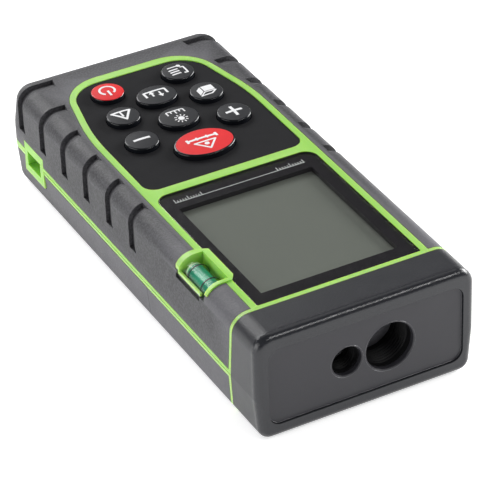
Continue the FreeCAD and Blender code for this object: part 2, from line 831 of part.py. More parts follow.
def panel_prism(name, inset, along):
    """A prism along Y with the front panel's rounded outline."""
    body = new_body(name)
    plan = sketch_on(body, "XZ_Plane", f"-({along[1]})")
    half = f"panel_half - {inset}"
    low = f"panel_low + {inset}"
    high = f"panel_high - {inset}"
    outline(plan, [(f"-({half})", low), (half, low), (half, high), (f"-({half})", high)])
    pad(body, plan, f"({along[1]}) - ({along[0]})")
    fillet(body, lambda low, high: high.y - low.y > 0.5, f"panel_round - {inset}")
    return body


def lens(name, across, up, radius, along, bulge, thick):
    """A plano-convex lens on an axis along Y, convex towards the laser end."""
    body = new_body(name)
    profile = sketch_on(body, "XZ_Plane", f"-({along} + {thick})")
    circle(profile, across, up, radius)
    pad(body, profile, thick)
    ball = doc.addObject("Part::Sphere", name + "_ball")
    bind(ball, "Radius", f"({radius})^2 / (2 * {bulge})")
    bind(ball, "Placement.Base.x", across)
    bind(ball, "Placement.Base.y", f"{along} + ({radius})^2 / (2 * {bulge})")
    bind(ball, "Placement.Base.z", up)
    return common(name + "_glass", body, ball)


def make_optics():
    tube_front = "panel_recess + panel_thick + 0.1"
    laser = ("laser_across", "laser_up")
    receiver = ("receiver_across", "receiver_up")
    subpart(tube("laser_barrel", *laser, "laser_tube", "laser_tube - tube_wall",
                 (tube_front, "laser_tube_end")), "laser_barrel")
    subpart(tube("receiver_barrel", *receiver, "receiver_tube", "receiver_tube - tube_wall",
                 (tube_front, "receiver_tube_end")), "receiver_barrel")
    subpart(lens("collimator", *laser, "laser_tube - tube_wall - lens_gap", "collimator_depth",
                 "collimator_bulge", "collimator_thick"), "collimating_lens")
    subpart(lens("objective", *receiver, "receiver_tube - tube_wall - lens_gap", "lens_depth", "lens_bulge",
                 "lens_thick"), "receiver_lens")
    module = fuse("module_whole", rod("module_can", *laser, "laser_tube - tube_wall - lens_gap",
                                      ("module_front", "module_step")),
                  rod("module_body", *laser, "module_radius", ("module_step", "module_back")))
    exit_hole = rod("module_exit_hole", *laser, "module_exit", ("module_front - 1", "module_front + 2"))
    subpart(cut("laser_module", module, exit_hole), "laser_module")
    make_light_tunnel()

    bench = block("bench_block", ("-bench_left", "bench_right"), ("bench_near", "bench_far"),
                  ("skin + wall + 0.05", "board_low - 0.5"))
    bores = [rod("bench_laser", *laser, "laser_tube + lens_gap", (10, 25)),
             rod("bench_receiver", *receiver, "receiver_tube + lens_gap", (10, 25))]
    subpart(cut("optical_bench", bench, *bores), "optical_bench")

    can = rod("diode_can", *receiver, "diode_radius", ("diode_front", "detector_near"))
    flange = rod("diode_flange", *receiver, "flange_radius",
                 ("detector_near - flange_thick", "detector_near"))
    subpart(fuse("photodiode", can, flange), "photodiode")
    board = block("detector_board", ("-detector_left", "detector_right"),
                  ("detector_near", "detector_near + detector_thick"), ("detector_low", "detector_high"))
    subpart(board, "detector_board", "detector_near")


def make_light_tunnel():
    """A hollow cone from the receiver's barrel towards the photodiode."""
    halves = []
    for name, thin in (("tunnel_outside", "0"), ("tunnel_hollow", "tunnel_wall")):
        cone = doc.addObject("Part::Cone", name)
        cone.Placement.Rotation = FreeCAD.Rotation(FreeCAD.Vector(1, 0, 0), -90)
        bind(cone, "Radius1", f"receiver_tube - {thin}")
        bind(cone, "Radius2", f"tunnel_small - {thin}")
        bind(cone, "Height", "tunnel_length")
        bind(cone, "Placement.Base.x", "receiver_across")
        bind(cone, "Placement.Base.y", "receiver_tube_end")
        bind(cone, "Placement.Base.z", "receiver_up")
        halves.append(cone)
    subpart(cut("light_tunnel", *halves), "light_tunnel")


# ---- display ----

def make_display():
    print_top = "recess_floor + mask_thick"
    notch = housing_prism("window_notch", "0.1", (20, FAR))
    window = window_prism("window_plate", "0.08", (f"{print_top} + print_gap", "plate_top"))
    fillet(window, lambda low, high: low.z > SIZES["plate_top"] - 0.01, "0.2")
    subpart(cut("display_window", window, notch), "display_window")
    mask = window_prism("mask_plate", "0.08", ("recess_floor", print_top))
    sight = block("sight", ("-display_half", "display_half"), ("display_near", "display_far"), (20, FAR))
    subpart(cut("window_mask", mask, sight, notch), "window_mask")
    lcd = block("lcd_panel", ("-lcd_half", "lcd_half"), ("lcd_near", "lcd_far"), ("lcd_low", "lcd_high"))
    subpart(lcd, "lcd_panel", "lcd_near")
    light = block("backlight_plate", ("-lcd_half", "lcd_half"), ("light_near", "light_far"),
                  ("light_low", "light_high"))
    subpart(light, "backlight_plate", "light_near")
    zebra = block("lcd_connector_strip", ("-zebra_half", "zebra_half"), ("zebra_near", "zebra_far"),
                  ("board_high", "lcd_low"))
    subpart(zebra, "lcd_connector_strip", "zebra_near")


# ---- keypad ----

def make_keypad():
    plate = tapered_prism("keypad_blank", "window_half - 0.08", "pad_near + 0.08", "pad_far - 0.08",
                          "pad_near_round", "pad_far_round", ("recess_floor + 0.15", "plate_top"))
    for _, across, along, half_wide, half_long in KEYS:
        hole = sketch_on(plate, "XY_Plane", "plate_top")
        oval(hole, across, along, f"{half_wide} + key_clear", f"{half_long} + key_clear")
        pocket(plate, hole, 4)
    subpart(plate, "keypad_plate")

    mat = tapered_prism("mat_sheet", "window_half - mat_inset", "pad_near + mat_inset",
                        "pad_far - mat_inset", "pad_near_round - 1", "pad_far_round - 2",
                        ("mat_low", "mat_low + mat_thick"))
    pads, domes = [], []
    for name, across, along, half_wide, half_long in KEYS:
        pads.append(post(f"{name}_pad", across, along, "mat_pad_radius",
                         ("mat_low - mat_pad_drop", "key_low - key_travel - 0.05")))
        domes.append(post(f"{name}_dome", across, along, "dome_radius",
                          ("board_high", "board_high + dome_high")))
        make_key(name, across, along, half_wide, half_long)
    subpart(fuse("key_mat", mat, *pads), "key_mat")
    subpart(group("dome_switches", domes), "dome_switches")


def make_key(name, across, along, half_wide, half_long):
    """A key: a lip under the keypad plate, a stem through it, and a slightly domed face."""
    body = new_body(name + "_blank")
    lip = sketch_on(body, "XY_Plane", "key_low")
    oval(lip, across, along, f"{half_wide} + key_lip", f"{half_long} + key_lip")
    pad(body, lip, "key_lip_top - key_low")
    stem = sketch_on(body, "XY_Plane", "key_lip_top - 0.1")
    oval(stem, across, along, half_wide, half_long)
    pad(body, stem, "key_top - key_lip_top + 1")
    ball = doc.addObject("Part::Sphere", name + "_ball")
    bend = f"{half_wide}^2 / (2 * key_dome)"
    bind(ball, "Radius", bend)
    bind(ball, "Placement.Base.x", across)
    bind(ball, "Placement.Base.y", along)
    bind(ball, "Placement.Base.z", f"key_top - {bend}")
    domed = common(name + "_domed", body, ball)
    doc.recompute()
    key = doc.addObject("Part::Fillet", name)
    key.Base = domed
    round_size = SIZES["key_edge"]
    key.Edges = [(index, round_size, round_size) for index, edge in enumerate(domed.Shape.Edges, 1)
                 if edge.BoundBox.ZMin > SIZES["plate_top"]]
    subpart(key, name)


# ---- level ----

def capsule(name, radius, half):
    """A round-ended bar along Y about the bubble's middle."""
    bar = rod(name + "_bar", "vial_across", "vial_up + bubble_up", radius,
              (f"bubble_middle - ({half})", f"bubble_middle + ({half})"))
    doc.recompute()
    item = doc.addObject("Part::Fillet", name)
    item.Base = bar
    round_size = 0.9 * bar.Radius.Value
    item.Edges = [(index, round_size, round_size) for index, edge in enumerate(bar.Shape.Edges, 1)
                  if edge.BoundBox.YLength < 0.01]
    return item


def make_level():
    axis = ("vial_across", "vial_up")
    inside = ("vial_near + plug_thick", "vial_far - plug_thick")
    subpart(tube("level_vial", *axis, "vial_radius", "vial_bore", ("vial_near", "vial_far")), "level_vial")
    plugs = [rod("plug_near", *axis, "vial_bore - fill_gap", ("vial_near", inside[0])),
             rod("plug_far", *axis, "vial_bore - fill_gap", (inside[1], "vial_far"))]
    subpart(group("vial_plugs", plugs), "vial_plugs")
    channel = capsule("bubble_channel", "bubble_radius + bubble_gap",
                      "bubble_half + bubble_travel + bubble_gap")
    fill = rod("liquid_whole", *axis, "vial_bore - fill_gap",
               (f"{inside[0]} + fill_gap", f"{inside[1]} - fill_gap"))
    subpart(cut("vial_liquid", fill, channel), "vial_liquid")
    subpart(capsule("bubble", "bubble_radius", "bubble_half"), "vial_bubble")
    rings = []
    for sign in "-+":
        middle = f"bubble_middle {sign} ring_offset"
        rings.append(tube("ring", *axis, "vial_radius + ring_thick", "vial_radius",
                          (f"{middle} - ring_wide / 2", f"{middle} + ring_wide / 2")))
    subpart(group("vial_rings", rings), "vial_rings")


# ---- board, battery and screws ----

def make_board():
    board = block("board_blank", ("-board_half", "board_half"), ("board_near", "board_far"),
                  ("board_low", "board_high"))
    holes = [post(f"board_hole_{index}", across, along, "board_hole", ("board_low - 1", "board_high + 1"))
             for index, (across, along) in enumerate(BOARD_SCREWS)]
    subpart(cut("main_board", board, *holes), "main_board")
    chips = [block(name, across, along, (f"board_low - {high}", "board_low"))
             for name, across, along, high in CHIPS]
    subpart(group("board_chips", chips), "board_chips")
    buzzer = post("buzzer", 0, "buzzer_along", "buzzer_radius", ("board_low - buzzer_high", "board_low"))
    subpart(buzzer, "buzzer", "buzzer_along")


def make_cells():
    plates, contacts = [], []
    cell_far = "cell_near + cell_length"
    for side, sign in (("left", "-"), ("right", "+")):
        middle = f"0 {sign} cell_across"
        axis = (middle, "cell_up")
        can = rod(f"cell_can_{side}", *axis, "cell_radius", ("cell_near + cell_nub_high", cell_far))
        nub = rod(f"cell_nub_{side}", *axis, "cell_nub_radius",
                  ("cell_near", "cell_near + cell_nub_high + 0.1"))
        dent = tube(f"cell_dent_{side}", *axis, "dent_outside", "dent_inside",
                    (f"{cell_far} - dent_deep", f"{cell_far} + 1"))
        subpart(cut(f"battery_{side}", fuse(f"cell_{side}", can, nub), dent), f"battery_{side}")
        across = (f"{middle} - plate_half", f"{middle} + plate_half")
        up = ("plate_low", "plate_high")
        plates.append(block(f"plus_plate_{side}", across, ("bay_near", "bay_near + plate_thick"), up))
        plates.append(block(f"minus_plate_{side}", across, ("bay_far - plate_thick", "bay_far"), up))
        contacts.append(contact_spring(side, *axis))
        contacts.append(rod(f"plus_stud_{side}", *axis, "stud_radius",
                            ("bay_near + plate_thick + 0.05", "cell_near - 0.02")))
    subpart(group("contact_plates", plates), "contact_plates")
    subpart(group("contact_springs", contacts), "contact_springs")


def contact_spring(side, across, up):
    """A wire spring that stands on the minus plate."""
    coil = doc.addObject("Part::Helix", f"coil_{side}")
    bind(coil, "Height", "bay_far - plate_thick - cell_near - cell_length - 2 * wire_radius - 0.15")
    bind(coil, "Pitch", "spring_pitch")
    bind(coil, "Radius", "spring_radius")
    wire = doc.addObject("Part::Circle", f"coil_wire_{side}")
    bind(wire, "Radius", "wire_radius")
    wire.Placement.Rotation = FreeCAD.Rotation(FreeCAD.Vector(1, 0, 0), 90)
    bind(wire, "Placement.Base.x", "spring_radius")
    spring = doc.addObject("Part::Sweep", f"spring_{side}")
    spring.Sections = [wire]
    spring.Spine = (coil, ["Edge1"])
    spring.Solid = True
    spring.Frenet = True
    spring.Placement.Rotation = FreeCAD.Rotation(FreeCAD.Vector(1, 0, 0), -90)
    bind(spring, "Placement.Base.x", across)
    bind(spring, "Placement.Base.y", "cell_near + cell_length + wire_radius + 0.05")
    bind(spring, "Placement.Base.z", up)
    return spring


def screw(name, across, along, kind, head_top):
    """A cross-head screw that is driven upwards, of the sheet's case or board kind."""
    head_low = f"{head_top} - {kind}_head_high"
    head = post(name + "_head", across, along, f"{kind}_head", (head_low, head_top))
    shank = post(name + "_shank", across, along, f"{kind}_shank", (f"{head_top} - 0.1", f"{kind}_tip"))
    whole = fuse(name + "_whole", head, shank)
    long, thin = f"0.62 * {kind}_head", f"0.14 * {kind}_head"
    slots = [block(f"{name}_slot_{index}", (f"{across} - {wide}", f"{across} + {wide}"),
                   (f"{along} - {deep}", f"{along} + {deep}"), (f"{head_low} - 1", f"{head_low} + 0.8"))
             for index, (wide, deep) in enumerate(((long, thin), (thin, long)))]
    return cut(name, whole, *slots)


def make_screws():
    case = [screw(f"case_screw_{index}", across, along, "case",
                  "case_head_top" if index < 2 else "seam_height - seam_gap - line")
            for index, (across, along) in enumerate(CASE_SCREWS)]
    subpart(group("case_screws", case), "case_screws")
    board = [screw(f"board_screw_{index}", across, along, "board", "board_low")
             for index, (across, along) in enumerate(BOARD_SCREWS)]
    subpart(group("board_screws", board), "board_screws")


make_upper_casing()
make_lower_casing()
make_battery_door()
make_nose()
make_optics()
make_display()
make_keypad()
make_level()
make_board()
make_cells()
make_screws()
doc.recompute()

for item in doc.Objects:
    if "Invalid" in item.State or "Error" in item.State:
        raise RuntimeError(f"{item.Name} failed: {item.State}")
for item in subparts:
    if item.Shape.isNull() or not item.Shape.isValid() or not item.Shape.Solids:
        raise RuntimeError(f"{item.Label} has no valid solid")

os.makedirs("parts", exist_ok=True)
for item in subparts:
    item.Shape.exportStep(f"parts/{item.Label}.step")
    print(f"{item.Label:20s} solids {len(item.Shape.Solids)} volume {item.Shape.Volume:8.1f}",
          item.Shape.BoundBox)
print(len(subparts), "sub-parts")
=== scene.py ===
# %% [markdown]
# # A laser distance meter
# The casing, keys, optics and level come from a CAD model that is already in place, in metres, with +Z up
# and +Y from the laser end to the keypad end. This lesson gives each of them its finish, and adds the
# printed marks, the bore threads and the sheen that a solid model doesn't have.

# %% Load the frame
import math

import bmesh
import bpy
from mathutils import Matrix, Vector


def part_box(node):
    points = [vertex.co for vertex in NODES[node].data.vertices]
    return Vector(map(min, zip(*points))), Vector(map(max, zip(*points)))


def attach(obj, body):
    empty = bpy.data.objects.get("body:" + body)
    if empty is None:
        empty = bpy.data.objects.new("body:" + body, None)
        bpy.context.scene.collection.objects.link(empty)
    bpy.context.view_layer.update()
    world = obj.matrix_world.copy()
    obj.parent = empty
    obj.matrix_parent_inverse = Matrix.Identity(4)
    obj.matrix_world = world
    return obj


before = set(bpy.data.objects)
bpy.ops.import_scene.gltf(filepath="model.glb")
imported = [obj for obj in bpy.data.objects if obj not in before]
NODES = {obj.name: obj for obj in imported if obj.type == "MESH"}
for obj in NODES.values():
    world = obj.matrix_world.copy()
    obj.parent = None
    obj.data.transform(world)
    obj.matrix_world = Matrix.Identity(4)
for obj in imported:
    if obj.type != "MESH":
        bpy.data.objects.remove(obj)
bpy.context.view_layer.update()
MM = 0.001
LASER_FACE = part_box("nose_cap")[0].y

# %% [markdown]
# ## Camera
# A product picture of a small tool is taken from a little distance with a long lens, so the far end stays
# nearly as wide as the near one. The camera could be aimed with a constraint, but a fixed direction, as two
# vectors, can't drift when the model changes.

# %% Place the camera
CAMERA_PLACE = Vector((-0.233006, -0.458849, 0.352455))
CAMERA_RIGHT = Vector((0.87833, -0.47717, -0.02921))
CAMERA_DOWN = Vector((-0.28898, -0.48127, -0.82757))
CAMERA_FORWARD = Vector((0.38083, 0.73532, -0.56060))
LENS_MM = 208.57
SENSOR_MM = 36.0

lens = bpy.data.cameras.new("camera")
lens.lens = LENS_MM
lens.sensor_width = SENSOR_MM
lens.clip_start = 0.01
camera = bpy.data.objects.new("camera", lens)
bpy.context.scene.collection.objects.link(camera)
turn = Matrix((CAMERA_RIGHT, -CAMERA_DOWN, -CAMERA_FORWARD)).transposed().to_4x4()
camera.matrix_world = Matrix.Translation(CAMERA_PLACE) @ turn
bpy.context.scene.camera = camera
print("camera", round(CAMERA_PLACE.length, 3), "m away with a", LENS_MM, "mm lens")

# %% [markdown]
# ## Light
# Black plastic only shows its form through what it reflects. Small lamps would give hard dots, so the light
# comes from wide panels. The one beyond the far end is mirrored in the top, one on each side lets the side
# walls glow, and a thin strip draws a line along the nose's front edge. The white sweep below gives most of
# the fill, so the world around is kept dim.

# %% Set the world and the panels
def light_panel(name, place, aim, size, watts, colour=(1.0, 1.0, 1.0)):
    """A flat rectangular lamp at place that faces aim."""
    lamp = bpy.data.lights.new(name, "AREA")
    lamp.shape = "RECTANGLE"
    lamp.size, lamp.size_y = size
    lamp.energy = watts
    lamp.color = colour
    holder = bpy.data.objects.new(name, lamp)
    bpy.context.scene.collection.objects.link(holder)
    holder.location = place
    holder.rotation_euler = (Vector(aim) - Vector(place)).to_track_quat("-Z", "Y").to_euler()
    return holder


world = bpy.data.worlds.new("studio")
bpy.context.scene.world = world
world.use_nodes = True
world.node_tree.nodes["Background"].inputs["Color"].default_value = (1.0, 1.0, 1.0, 1.0)
world.node_tree.nodes["Background"].inputs["Strength"].default_value = 0.10
bpy.context.scene.view_settings.view_transform = "Standard"

light_panel("top_panel", (0.10, 0.30, 0.62), (0, 0, 0.01), (0.55, 0.40), 0.5)
light_panel("far_panel", (-0.10, 0.62, 0.40), (0, 0, 0.01), (0.60, 0.30), 4.0)
light_panel("left_panel", (-0.55, -0.02, 0.16), (0, 0, 0.01), (0.55, 0.30), 1.6)
light_panel("right_panel", (0.60, 0.05, 0.22), (0, 0, 0.01), (0.50, 0.25), 5.2)
light_panel("edge_strip", (0.20, -0.34, 0.39), (0, -0.058, 0.022), (0.40, 0.03), 0.8)
print("lights:", len(bpy.data.lights))

# %% [markdown]
# ## Floor
# The instrument lies on a plain pale sweep that is lit from below, as a product table is. A plane is enough,
# because nothing of it shows but its tone and a trace of shadow.

# %% Lay the floor
FLOOR_HALF = 3.0
floor_mesh = bpy.data.meshes.new("floor")
floor_mesh.from_pydata([(x * FLOOR_HALF, y * FLOOR_HALF, 0) for x, y in ((-1, -1), (1, -1), (1, 1), (-1, 1))],
                       [], [(0, 1, 2, 3)])
floor = bpy.data.objects.new("floor", floor_mesh)
bpy.context.scene.collection.objects.link(floor)
floor.location.z = -0.0002

# %% [markdown]
# ## A small language for shaders
# A finish is mostly arithmetic on noise and distance. Nodes could be placed and wired one at a time, but
# the sums are easier to read as expressions. A Signal wraps one output socket, and adding or multiplying
# Signals adds the Math nodes. Any other node comes from Finish.node, which takes its type, its settings
# and what feeds its sockets.

# %% Wrap a socket so that it can be used in sums
class Signal:
    """A number that varies over a surface."""

    def __init__(self, finish, socket):
        self.finish = finish
        self.socket = socket

    def _math(self, operation, *values):
        return self.finish.node("ShaderNodeMath", {"operation": operation}, dict(enumerate(values)))

    def __add__(self, other):
        return self._math("ADD", self, other)

    def __radd__(self, other):
        return self._math("ADD", other, self)

    def __sub__(self, other):
        return self._math("SUBTRACT", self, other)

    def __rsub__(self, other):
        return self._math("SUBTRACT", other, self)

    def __mul__(self, other):
        return self._math("MULTIPLY", self, other)

    def __rmul__(self, other):
        return self._math("MULTIPLY", other, self)

    def __truediv__(self, other):
        return self._math("DIVIDE", self, other)

    def __gt__(self, other):
        return self._math("GREATER_THAN", self, other)

    def __lt__(self, other):
        return self._math("LESS_THAN", self, other)

    def __abs__(self):
        return self._math("ABSOLUTE", self)

    def __pow__(self, other):
        return self._math("POWER", self, other)

    def between(self, low, high):
        """0 below low, 1 above high, and a smooth step from one to the other."""
        return self.finish.node("ShaderNodeMapRange", {"interpolation_type": "SMOOTHSTEP"},
                                {"Value": self, "From Min": low, "From Max": high})


# %% Build one material
class Finish:
    """One material: its shader, its nodes and the patterns that its surface is made from."""

    def __init__(self, name, colour, roughness, **shader):
        self.material = bpy.data.materials.new(name)
        self.material.use_nodes = True
        self.tree = self.material.node_tree
        self.shader = self.tree.nodes["Principled BSDF"]
        self.colour = colour
        self.set("Base Color", (*colour, 1.0))
        self.set("Roughness", roughness)
        for socket, value in shader.items():
            self.set(socket.replace("_", " "), value)
        place = self.tree.nodes.new("ShaderNodeTexCoord")
        self.place = Signal(self, place.outputs["Object"])

    def set(self, socket, value):
        """Puts a number, a colour or a Signal on one of the shader's sockets."""
        self._feed(self.shader.inputs[socket], value)

    def _feed(self, socket, value):
        if isinstance(value, Signal):
            self.tree.links.new(value.socket, socket)
        else:
            socket.default_value = value

    def node(self, kind, settings=None, sockets=None, output=0):
        """Adds a node: its type, then its settings, then the values or links of its sockets."""
        made = self.tree.nodes.new(kind)
        for name, value in (settings or {}).items():
            setattr(made, name, value)
        for name, value in (sockets or {}).items():
            self._feed(made.inputs[name], value)
        return Signal(self, made.outputs[output])

    def noise(self, size, detail=2.0, stretch=None):
        """Soft random spots about size metres across, from 0 to 1."""
        where = self.place
        if stretch:
            where = self.node("ShaderNodeVectorMath", {"operation": "MULTIPLY"}, {0: where, 1: stretch})
        return self.node("ShaderNodeTexNoise", None, {"Vector": where, "Scale": 1.0 / size, "Detail": detail})

    def grains(self, size):
        """Distance to the middle of the nearest of many small cells, for pebbled textures."""
        return self.node("ShaderNodeTexVoronoi", None, {"Vector": self.place, "Scale": 1.0 / size})

    def painted_edge_highlight(self):
        """0 on flat faces and 1 on sharp outward edges, where a painted highlight goes."""
        pointy = self.node("ShaderNodeNewGeometry", output="Pointiness")
        return pointy.between(0.52, 0.62)

    def axis(self, name):
        """One coordinate of the surface point, in metres."""
        return self.node("ShaderNodeSeparateXYZ", None, {0: self.place}, "XYZ".index(name))

    def blend(self, amount, first, second):
        """A colour between first and second; each is a triple or a Signal."""
        pair = [value if isinstance(value, Signal) else (*value, 1.0) for value in (first, second)]
        return self.node("ShaderNodeMix", {"data_type": "RGBA"}, {0: amount, 6: pair[0], 7: pair[1]}, 2)

    def bump(self, height, distance, strength=1.0):
        """Raises the surface by height times distance metres, for its shading only."""
        relief = self.node("ShaderNodeBump", None,
                           {"Height": height, "Distance": distance, "Strength": strength})
        self.set("Normal", relief)

    def put_on(self, *names):
        for name in names:
            NODES[name].data.materials.clear()
            NODES[name].data.materials.append(self.material)
        return self


print("shader helpers ready")

# %% [markdown]
# ## Soft grips
# The black parts that the hand holds are a soft rubber moulded over the shell. Its mould was spark eroded,
# which leaves a fine pebbled skin that turns grey where light grazes it. A flat dark colour would look like
# paint, so small grains drive the bump, a wider noise varies the roughness, and the edges are painted
# paler, a painted highlight along them. The battery door is hard plastic from a similar mould.

# %% Finish the grips and the door
def soft_rubber(name, dark, pale, roughness):
    """A pebbled black skin that goes from dark to pale with its grain, and has a painted highlight along its
    edges.
    """
    skin = Finish(name, dark, roughness, Specular_IOR_Level=0.5)
    grain = skin.noise(0.00042, 3.0)
    cloud = skin.noise(0.004, 3.0)
    mixed = skin.blend(grain.between(0.38, 0.66) * 0.65 + cloud * 0.30, dark, pale)
    # sharp edges are painted paler, a painted highlight along them
    skin.set("Base Color", skin.blend(skin.painted_edge_highlight() * 0.5, mixed, [2.2 * value for value in pale]))
    skin.set("Roughness", roughness - 0.10 + 0.20 * cloud)
    skin.bump(grain * 0.7 + skin.noise(0.0009, 2.0) * 0.3, 0.00012, 0.9)
    return skin


grips = soft_rubber("grip_rubber", (0.024, 0.024, 0.027), (0.072, 0.071, 0.079), 0.54)
grips.put_on("upper_grip", "lower_grip")
door = soft_rubber("door_skin", (0.026, 0.026, 0.029), (0.076, 0.074, 0.083), 0.52)
door.put_on("battery_door")

# %% [markdown]
# ## Green shell
# The frame lines, the waist line, the lanyard block and the level housing are one moulding in bright
# green. Saturated plastic lets light in a little way, so thin walls glow where they are lit from behind.
# A plain diffuse colour stays dull there, so about half of the light goes below the surface, and a fine
# moulded texture with faint flow clouds keeps it from looking like paint. The walls of the window's recess
# are painted near black, a painted shade down in the recess.

# %% Finish the green shell
green = Finish("green_shell", (0.30, 0.62, 0.10), 0.36, Subsurface_Weight=0.55, Subsurface_Scale=0.0016,
               Subsurface_Radius=(0.75, 1.0, 0.06), Specular_IOR_Level=0.5)
flow = green.noise(0.006, 2.0, (1.0, 0.35, 1.0))
shell_colour = green.blend(flow, (0.275, 0.59, 0.085), (0.335, 0.66, 0.120))
# sharp edges are painted pale green, a painted highlight along them
shell_colour = green.blend(green.painted_edge_highlight() * 0.35, shell_colour, (0.62, 0.86, 0.36))
window_low, window_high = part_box("display_window")
WALL_SPARE = 0.15 * MM
painted_recess_shade = ((abs(green.axis("X")) < window_high.x + WALL_SPARE) * (green.axis("Y") > window_low.y - WALL_SPARE)
             * (green.axis("Y") < window_high.y + WALL_SPARE) * (green.axis("Z") < window_high.z))
# the walls of the window's recess are painted near black, a painted shade
green.set("Base Color", green.blend(painted_recess_shade, shell_colour, (0.012, 0.010, 0.013)))
green.set("Roughness", 0.32 + 0.14 * green.noise(0.0015))
green.bump(green.noise(0.00025), 0.00002, 0.4)
green.put_on("upper_shell", "lower_shell")

# %% [markdown]
# ## Nose cap and front panel
# The cap is satin black with a fine eroded texture, so its front edge catches a broken, speckled line of
# light. The speckle comes from bump at the size of the texture, not from painted dots. The panel
# that is set into it is a smoother dark grey.

# %% Finish the nose
nose = Finish("nose_plastic", (0.020, 0.021, 0.025), 0.34, Specular_IOR_Level=0.5)
nose_grain = nose.noise(0.00032, 3.0)
nose.set("Base Color", nose.blend(nose_grain, (0.017, 0.018, 0.022), (0.027, 0.028, 0.033)))
polish = 1.0 - nose.axis("Y").between(LASER_FACE + 0.0012, LASER_FACE + 0.0028)
nose.set("Roughness", 0.32 + 0.10 * nose.noise(0.003) - 0.17 * polish)
nose.bump(nose_grain, 0.00006, 0.6)
nose.put_on("nose_cap")

panel = Finish("panel_plastic", (0.030, 0.030, 0.035), 0.42, Specular_IOR_Level=0.45)
panel_grain = panel.noise(0.0002, 2.0)
panel.set("Base Color", panel.blend(panel_grain, (0.025, 0.025, 0.030), (0.035, 0.034, 0.041)))
panel.set("Roughness", 0.38 + 0.10 * panel.noise(0.005))
panel.bump(panel_grain, 0.00002, 0.4)
panel.put_on("front_panel")

# %% [markdown]
# ## Keypad and keys
# The plate behind the keys is matt black. The keys are moulded in gloss black and their legends are
# printed on. Their faces are satin and only the rims are polished. Two keys have a red film on the face that
# stops just short of the rim. The film could be a thin mesh, but it is part of the printed face, so
# the distance from the key's middle divides satin from gloss and red from black in one material.

# %% Finish the keypad
plate = Finish("keypad_plastic", (0.008, 0.008, 0.009), 0.72, Specular_IOR_Level=0.16)
plate_grain = plate.noise(0.0002, 2.0)
plate.set("Base Color", plate.blend(plate_grain, (0.006, 0.006, 0.007), (0.011, 0.011, 0.013)))
plate.set("Roughness", 0.68 + 0.12 * plate.noise(0.004))
plate.bump(plate_grain, 0.00002, 0.5)
plate.put_on("keypad_plate")

KEY_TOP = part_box("key_read")[1].z
FACE_DEPTH = 0.5 * MM
KEYS = {name: [sum(pair) / 2 for pair in zip(*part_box(name))][:2]
        for name in NODES if name.startswith("key_") and name != "key_mat"}
LIP = 0.7 * MM
HALF = {name: [(high - low) / 2 - LIP for low, high in zip(*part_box(name))][:2] for name in KEYS}


def key_finish(key, film=0.0):
    """A gloss black key with a satin face, and a red film over a share of the face."""
    gloss = Finish("key_gloss_" + key[4:], (0.006, 0.006, 0.008), 0.14, Specular_IOR_Level=0.4)
    middle, half = KEYS[key], HALF[key]
    across = (gloss.axis("X") - middle[0]) / half[0]
    along = (gloss.axis("Y") - middle[1]) / half[1]
    reach = (across * across + along * along) ** 0.5
    top = gloss.axis("Z") > KEY_TOP - FACE_DEPTH
    satin = (1.0 - reach.between(0.90, 0.97)) * top
    black = gloss.blend(gloss.noise(0.003), (0.005, 0.006, 0.008), (0.009, 0.010, 0.014))
    if film:
        cover = (1.0 - reach.between(film - 0.01, film + 0.01)) * top
        red = gloss.blend(gloss.noise(0.002), (0.62, 0.006, 0.010), (0.72, 0.010, 0.014))
        black = gloss.blend(cover, black, red)
    gloss.set("Base Color", black)
    gloss.set("Roughness", 0.11 + 0.10 * gloss.noise(0.0012, 4.0) + 0.42 * satin)
    gloss.bump(gloss.noise(0.0006), 0.000006, 0.5)
    gloss.put_on(key)


RED_FILM = {"key_off": 0.97, "key_read": 0.93}
for key in KEYS:
    key_finish(key, RED_FILM.get(key, 0.0))
print("keys:", sorted(KEYS))

# %% [markdown]
# ## Window and display
# A clear plate covers the display, with a gloss black border printed on its back. Glass with real
# refraction hides the display in a few samples of noise, so the plate is a clear film with a sharp
# mirror coat: the eye reads it as a window either way. The display is grey-green, with a faint pattern of
# its own, and the border shades it at its edges.

# %% Finish the window
def clear_film(name, tint, mirror_roughness, cloudiness):
    """A surface that lets straight light through and mirrors some of it, more at a glancing angle."""
    film = Finish(name, tint, mirror_roughness)
    through = film.node("ShaderNodeBsdfTransparent", None, {"Color": (*tint, 1.0)})
    mirror = film.node("ShaderNodeBsdfGlossy", None, {"Color": (1.0, 1.0, 1.0, 1.0),
                                                      "Roughness": mirror_roughness})
    glance = film.node("ShaderNodeFresnel", None, {"IOR": 1.45})
    outward = 1.0 - film.node("ShaderNodeNewGeometry", output="Backfacing")
    share = (glance * 0.8 + film.noise(0.01) * cloudiness) * outward
    mixed = film.node("ShaderNodeMixShader", None, {0: share, 1: through, 2: mirror})
    film.tree.links.new(mixed.socket, film.tree.nodes["Material Output"].inputs["Surface"])
    return film


clear_film("window_clear", (0.96, 0.97, 0.96), 0.04, 0.004).put_on("display_window")

mask = Finish("mask_print", (0.012, 0.011, 0.014), 0.22, Specular_IOR_Level=0.5)
mask.set("Base Color", mask.blend(mask.noise(0.004), (0.009, 0.007, 0.010), (0.014, 0.011, 0.016)))
mask.set("Roughness", 0.18 + 0.10 * mask.noise(0.002))
mask.bump(mask.noise(0.0004), 0.000005, 0.4)
mask.put_on("window_mask")

lcd = Finish("lcd_panel", (0.15, 0.158, 0.142), 0.45, Specular_IOR_Level=0.3)
cells = lcd.grains(0.00035)
lcd.set("Base Color", lcd.blend(cells * 0.4 + lcd.noise(0.02) * 0.6,
                                (0.136, 0.144, 0.128), (0.160, 0.166, 0.149)))
lcd.set("Roughness", 0.40 + 0.10 * lcd.noise(0.006))
lcd.bump(cells, 0.000004, 0.3)
lcd.put_on("lcd_panel")

# %% [markdown]
# ## Level
# The vial is a clear tube of tinted spirit with two ring lines and a bubble. Nested glass needs every
# wall to be in the right order and still comes out dark, so the tube is a clear film, the liquid a deep
# teal painted lighter along its upper side as a painted highlight and given a faint painted glow of its own,
# and the bubble a pale painted highlight.

# %% Finish the vial
clear_film("vial_clear", (0.93, 0.98, 0.93), 0.24, 0.02).put_on("level_vial")
